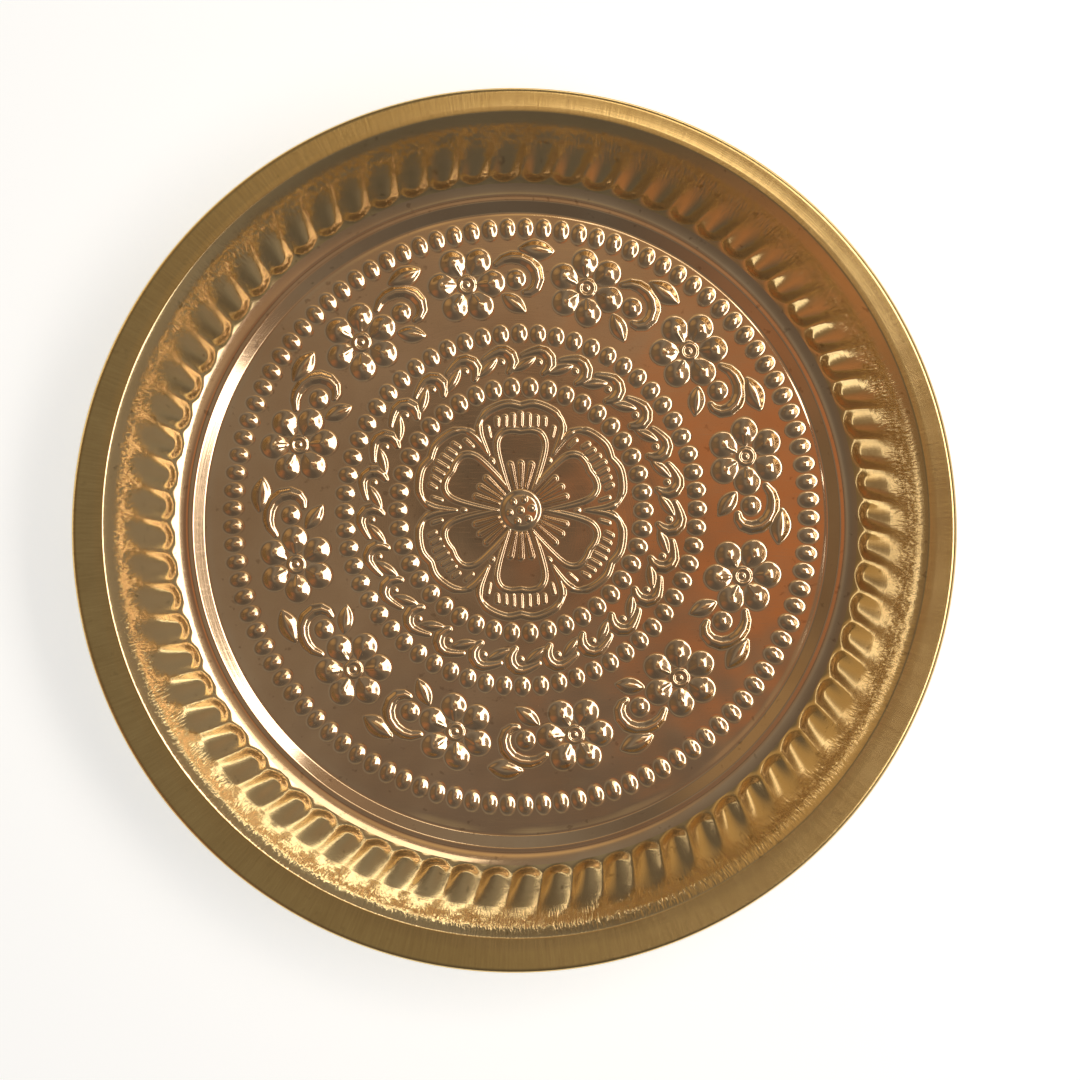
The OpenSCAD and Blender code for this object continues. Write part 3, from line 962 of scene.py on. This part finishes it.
def bumpFrom(tree, height, strength, distance, normal=None):
    node = tree.nodes.new("ShaderNodeBump")
    node.inputs["Strength"].default_value = strength
    node.inputs["Distance"].default_value = distance
    tree.links.new(height, node.inputs["Height"])
    if normal is not None:
        tree.links.new(normal, node.inputs["Normal"])
    return node.outputs[0]


def newMetal(name):
    material = bpy.data.materials.new(name)
    material.use_nodes = True
    tree = material.node_tree
    shader = tree.nodes["Principled BSDF"]
    shader.inputs["Metallic"].default_value = 1.0
    place = tree.nodes.new("ShaderNodeTexCoord").outputs["Object"]
    return material, tree, shader, place


grindGroup = makeGrindGroup()
spinGroup = makeSpinGroup()
tarnishGroup = makeTarnishGroup()
scratchGroup = makeScratchGroup()
puckerGroup = makePuckerGroup()

satinBrass = {
    "bright": (0.83, 0.63, 0.30),
    "dull": (0.66, 0.48, 0.22),
    "speck": (0.22, 0.14, 0.07),
    "rough": (0.17, 0.22),
    "anisotropy": 0.94,
    "grind": {"Around": 190.0, "Outward": 110.0},
    "rings": {"Rings": 1500.0},
    # how much each of these dulls the colour
    "grindShare": 0.6,
    "patchShare": 0.3,
    "cloudShare": 0.12,
    "speckShare": 0.12,
    # strength, and depth in metres
    "grindBump": (0.35, 0.00004),
    "ringBump": (0.15, 0.00003),
}
polishedBrass = {
    "bright": (0.88, 0.71, 0.42),
    "dull": (0.71, 0.54, 0.29),
    "rough": (0.13, 0.24),
    "ringBump": (0.12, 0.00003),
    "puckerBump": (0.8, 0.0004),
}
roseBrass = {
    "bright": (0.89, 0.69, 0.48),
    "dull": (0.73, 0.52, 0.33),
    "rough": (0.08, 0.18),
    "ringBump": (0.05, 0.00003),
    "puckerBump": None,
}
polishing = {
    "speck": (0.20, 0.11, 0.06),
    "clouds": {"Cloud Scale": 30.0},
    "cloudShare": 0.7,
    "speckShare": 0.3,
    "cloudWear": 0.6,
    "scratchWear": 0.4,
    "scratchBump": (0.08, 0.00002),
}


def makeSatin():
    material, tree, shader, place = newMetal("satinBrass")
    grind = placeGroup(tree, grindGroup, place, **satinBrass["grind"])
    tarnish = placeGroup(tree, tarnishGroup, place)
    spin = placeGroup(tree, spinGroup, place, **satinBrass["rings"])
    streak = mathNode(tree, "MULTIPLY", grind.outputs["Mark"], satinBrass["grindShare"])
    patch = mathNode(tree, "MULTIPLY", grind.outputs["Patch"], satinBrass["patchShare"])
    cloud = mathNode(tree, "MULTIPLY", tarnish.outputs["Cloud"], satinBrass["cloudShare"])
    cover = mathNode(tree, "ADD", streak, mathNode(tree, "ADD", patch, cloud))
    colour = mixColour(tree, cover, satinBrass["bright"], satinBrass["dull"])
    speck = mathNode(tree, "MULTIPLY", tarnish.outputs["Speck"], satinBrass["speckShare"])
    colour = mixColour(tree, speck, colour, satinBrass["speck"])
    tree.links.new(colour, shader.inputs["Base Color"])
    rough = mapValue(tree, grind.outputs["Patch"], 0.0, 1.0, *satinBrass["rough"])
    tree.links.new(rough, shader.inputs["Roughness"])
    tangent = tree.nodes.new("ShaderNodeTangent")
    tangent.direction_type = "RADIAL"
    tangent.axis = "Z"
    tree.links.new(tangent.outputs[0], shader.inputs["Tangent"])
    shader.inputs["Anisotropic"].default_value = satinBrass["anisotropy"]
    normal = bumpFrom(tree, grind.outputs["Mark"], *satinBrass["grindBump"])
    normal = bumpFrom(tree, spin.outputs["Ring"], *satinBrass["ringBump"], normal)
    tree.links.new(normal, shader.inputs["Normal"])
    return material


def makePolished(name, finish):
    material, tree, shader, place = newMetal(name)
    tarnish = placeGroup(tree, tarnishGroup, place, **polishing["clouds"])
    scratch = placeGroup(tree, scratchGroup, place)
    spin = placeGroup(tree, spinGroup, place)
    cloud = mathNode(tree, "MULTIPLY", tarnish.outputs["Cloud"], polishing["cloudShare"])
    colour = mixColour(tree, cloud, finish["bright"], finish["dull"])
    speck = mathNode(tree, "MULTIPLY", tarnish.outputs["Speck"], polishing["speckShare"])
    colour = mixColour(tree, speck, colour, polishing["speck"])
    tree.links.new(colour, shader.inputs["Base Color"])
    dulled = mathNode(tree, "MULTIPLY", tarnish.outputs["Cloud"], polishing["cloudWear"])
    scored = mathNode(tree, "MULTIPLY", scratch.outputs["Scratch"], polishing["scratchWear"])
    rough = mapValue(tree, mathNode(tree, "ADD", dulled, scored), 0.0, 1.0, *finish["rough"])
    tree.links.new(rough, shader.inputs["Roughness"])
    normal = bumpFrom(tree, scratch.outputs["Scratch"], *polishing["scratchBump"])
    normal = bumpFrom(tree, spin.outputs["Ring"], *finish["ringBump"], normal)
    if finish["puckerBump"]:
        pucker = placeGroup(tree, puckerGroup, place)
        normal = bumpFrom(tree, pucker.outputs["Pucker"], *finish["puckerBump"], normal)
    tree.links.new(normal, shader.inputs["Normal"])
    return material


# Stage: pale floor, soft lights and the camera above the tray, with sizes in metres

stage = {
    "floorSize": 200.0,
    "floorDrop": 0.0002,
    "floorColour": (0.90, 0.90, 0.90),
    "floorRough": 0.9,
    "floorGlow": 0.62,
    "glowTint": (0.86, 0.94, 1.0),
}
room = {
    "haloAzimuth": 12,
    "haloElevation": 53,
    # cosine of the angle from the halo's middle, and colour
    "halo": [
        (-0.2, (0.10, 0.085, 0.07)),
        (0.3, (0.15, 0.125, 0.10)),
        (0.55, (0.25, 0.22, 0.18)),
        (0.71, (0.24, 0.19, 0.14)),
        (0.8, (0.29, 0.205, 0.14)),
        (0.88, (0.36, 0.255, 0.16)),
        (1.0, (0.50, 0.38, 0.26)),
    ],
    # soft patches of the room: azimuth, elevation, reach and softness in degrees, and colour
    "patches": [
        (3, 67, 11, 6, (0.20, 0.13, 0.09)),
        (-5, 83, 3, 5, (0.42, 0.17, 0.07)),
        (-85, 76, 6, 7, (0.15, 0.12, 0.10)),
        (170, 88.7, 2.8, 1.6, (0.11, 0.09, 0.07)),
        (90, 69, 8, 6, (0.56, 0.40, 0.21)),
        (-90, 68, 6, 5, (0.30, 0.25, 0.17)),
        (0, 4, 22, 16, (0.25, 0.21, 0.17)),
        (180, 16, 26, 14, (0.21, 0.145, 0.085)),
        (225, 14, 18, 14, (0.40, 0.19, 0.09)),
        (140, 12, 16, 14, (0.50, 0.33, 0.15)),
        (-90, 18, 30, 20, (0.12, 0.105, 0.09)),
    ],
}
whiteLight = (1.0, 0.95, 0.88)
warmLight = (1.0, 0.88, 0.68)
lamps = {
    # azimuth, elevation, distance, width and height, brightness, tint
    "softWindow": (7, 47.5, 0.9, (1.05, 0.28), 3.6, whiteLight),
    "highWindow": (58, 54, 0.9, (0.5, 0.18), 1.6, warmLight),
    "warmBack": (64, 4, 1.1, (1.2, 0.12), 3.0, warmLight),
    "warmSide": (170, 9, 1.1, (0.9, 0.13), 1.4, warmLight),
}
camera = {
    "aim": (0.00727, -0.00206, 0.0228),
    "distance": 0.551,
    "elevation": 91.3,
    "lens": 65.3,
    "sensor": 36.0,
    "nearest": 0.01,
}


def makeStage():
    bm = bmesh.new()
    bmesh.ops.create_grid(bm, x_segments=2, y_segments=2, size=stage["floorSize"] / 2)
    bmesh.ops.translate(bm, verts=bm.verts[:], vec=(0, 0, -stage["floorDrop"]))
    floor = keepPiece("paleFloor", bm)
    material = bpy.data.materials.new("paleFloor")
    material.use_nodes = True
    tree = material.node_tree
    shader = tree.nodes["Principled BSDF"]
    shader.inputs["Base Color"].default_value = (*stage["floorColour"], 1.0)
    shader.inputs["Roughness"].default_value = stage["floorRough"]
    shader.inputs["Emission Color"].default_value = (*stage["glowTint"], 1.0)
    path = tree.nodes.new("ShaderNodeLightPath")
    seen = mathNode(tree, "MAXIMUM", path.outputs["Is Camera Ray"], path.outputs["Is Glossy Ray"])
    seen = mathNode(tree, "MAXIMUM", seen, path.outputs["Is Transmission Ray"])
    glow = mathNode(tree, "MULTIPLY", seen, stage["floorGlow"])
    tree.links.new(glow, shader.inputs["Emission Strength"])
    floor.data.materials.append(material)


def lookingTo(azimuth, elevation):
    a, e = math.radians(azimuth), math.radians(elevation)
    return math.cos(e) * math.cos(a), math.cos(e) * math.sin(a), math.sin(e)


def facingNode(tree, place, azimuth, elevation):
    # cosine of the angle between a point of the room and the given direction
    node = tree.nodes.new("ShaderNodeVectorMath")
    node.operation = "DOT_PRODUCT"
    tree.links.new(place, node.inputs[0])
    node.inputs[1].default_value = lookingTo(azimuth, elevation)
    return node.outputs["Value"]


def makeWorld():
    world = bpy.data.worlds.new("studio")
    bpy.context.scene.world = world
    world.use_nodes = True
    tree = world.node_tree
    background = tree.nodes["Background"]
    place = tree.nodes.new("ShaderNodeTexCoord").outputs["Generated"]
    facing = facingNode(tree, place, room["haloAzimuth"], room["haloElevation"])
    ramp = tree.nodes.new("ShaderNodeValToRGB")
    tree.links.new(mapValue(tree, facing, -1.0, 1.0), ramp.inputs[0])
    marks = ramp.color_ramp.elements
    while len(marks) < len(room["halo"]):
        marks.new(0.5)
    for mark, (cosine, colour) in zip(marks, room["halo"]):
        mark.position = (cosine + 1) / 2
        mark.color = (*colour, 1.0)
    colour = ramp.outputs[0]
    for azimuth, elevation, reach, soft, tint in room["patches"]:
        facing = facingNode(tree, place, azimuth, elevation)
        edge = math.cos(math.radians(reach + soft))
        core = math.cos(math.radians(max(reach - soft, 0)))
        colour = mixColour(tree, mapValue(tree, facing, edge, core), colour, tint)
    tree.links.new(colour, background.inputs["Color"])
    background.inputs["Strength"].default_value = 1.0


def addLamp(name, azimuth, elevation, distance, size, radiance, tint):
    # a soft panel that faces the tray; its power follows from the brightness wanted
    lamp = bpy.data.lights.new(name, "AREA")
    lamp.shape = "RECTANGLE"
    lamp.size, lamp.size_y = size
    lamp.energy = radiance * size[0] * size[1] * math.pi
    lamp.color = tint
    panel = bpy.data.objects.new(name, lamp)
    panel.location = np.array(lookingTo(azimuth, elevation)) * distance
    panel.rotation_euler = (math.radians(90 - elevation), 0, math.radians(azimuth + 90))
    bpy.context.scene.collection.objects.link(panel)


def makeCamera():
    data = bpy.data.cameras.new("camera")
    data.lens = camera["lens"]
    data.sensor_width = camera["sensor"]
    data.clip_start = camera["nearest"]
    viewer = bpy.data.objects.new("camera", data)
    e = math.radians(camera["elevation"])
    x, y, z = camera["aim"]
    away = camera["distance"]
    viewer.location = (x, y - away * math.cos(e), z + away * math.sin(e))
    viewer.rotation_euler = (math.radians(90 - camera["elevation"]), 0, 0)
    bpy.context.scene.collection.objects.link(viewer)
    bpy.context.scene.camera = viewer


print("camera, floor and lights")
makeCamera()
makeStage()
makeWorld()
for name, values in lamps.items():
    addLamp(name, *values)
bpy.context.scene.view_settings.view_transform = "Standard"

print("materials")
satin = makeSatin()
polished = makePolished("polishedBrass", polishedBrass)
rose = makePolished("roseBrass", roseBrass)

print("rim, wall and floor margin")
made = [
    (makeRim(), satin, "rim", ["rolled_rim"]),
    (makeWall(), polished, "wall", ["gadrooned_wall"]),
    (makeMargin(), rose, "floor", ["floor_pan"]),
]

print("ornament")
outer = margin["innerRadius"]
for name, (*values, nodes) in bands.items():
    for piece in makeBand(name, outer, *values):
        made.append((piece, rose, "ornament", nodes + ["floor_pan"]))
    outer = values[0]

print("placing the pieces on the body")
for piece, material, slotName, nodes in made:
    piece.data.materials.append(material)
    if material is satin:
        piece.data.materials.append(polished)
    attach(piece, "root")
    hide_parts(*nodes)
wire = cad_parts["edge_wire"]
wire.data.materials.clear()
wire.data.materials.append(satin)
